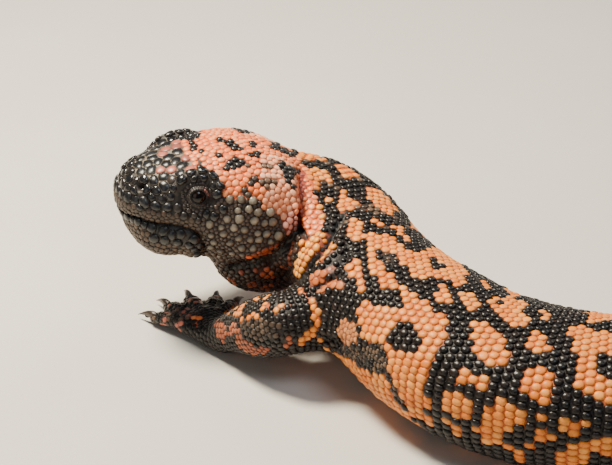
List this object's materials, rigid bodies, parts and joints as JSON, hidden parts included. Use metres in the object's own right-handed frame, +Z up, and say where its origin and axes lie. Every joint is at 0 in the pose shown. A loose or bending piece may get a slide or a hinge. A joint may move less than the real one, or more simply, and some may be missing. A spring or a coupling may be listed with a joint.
{
  "type": "gila monster model",
  "caption": "Life-size still model of a gila monster, head raised and turned to its left, body in a curve, legs spread and thick tail laid on the floor.",
  "frame": {"origin": "on the floor, on the flat where the belly rests under the middle of the trunk", "axes": "+Z up; -X the way the animal walks, so the tail points to +X; its left side is at -Y"},
  "size_m": [0.367, 0.1343, 0.0621],
  "materials": {
    "head_skin": "beaded scaly skin, satin",
    "lower_jaw_skin": "beaded scaly skin, satin",
    "neck_skin": "beaded scaly skin, satin",
    "chest_skin": "beaded scaly skin, satin",
    "trunk_skin": "beaded scaly skin, satin",
    "pelvis_skin": "beaded scaly skin, satin",
    "tail_base_skin": "beaded scaly skin, satin",
    "tail_middle_skin": "beaded scaly skin, satin",
    "tail_tip_skin": "beaded scaly skin, satin",
    "upper_arm_skin": "beaded scaly skin, satin",
    "forearm_skin": "beaded scaly skin, satin",
    "hand_skin": "beaded scaly skin, satin",
    "thigh_skin": "beaded scaly skin, satin",
    "shin_skin": "beaded scaly skin, satin",
    "foot_skin": "beaded scaly skin, satin",
    "eye": "wet gloss, dark brown"
  },
  "bodies": {
    "root": {"head": "head_skin", "lower_jaw": "lower_jaw_skin", "neck": "neck_skin", "chest": "chest_skin", "trunk": "trunk_skin", "pelvis": "pelvis_skin", "tail_base": "tail_base_skin", "tail_middle": "tail_middle_skin", "tail_tip": "tail_tip_skin", "left_upper_arm": "upper_arm_skin", "left_forearm": "forearm_skin", "left_hand": "hand_skin", "left_thigh": "thigh_skin", "left_shin": "shin_skin", "left_foot": "foot_skin", "right_upper_arm": "upper_arm_skin", "right_forearm": "forearm_skin", "right_hand": "hand_skin", "right_thigh": "thigh_skin", "right_shin": "shin_skin", "right_foot": "foot_skin", "left_eye": "eye", "right_eye": "eye"}
  },
  "joints": []
}
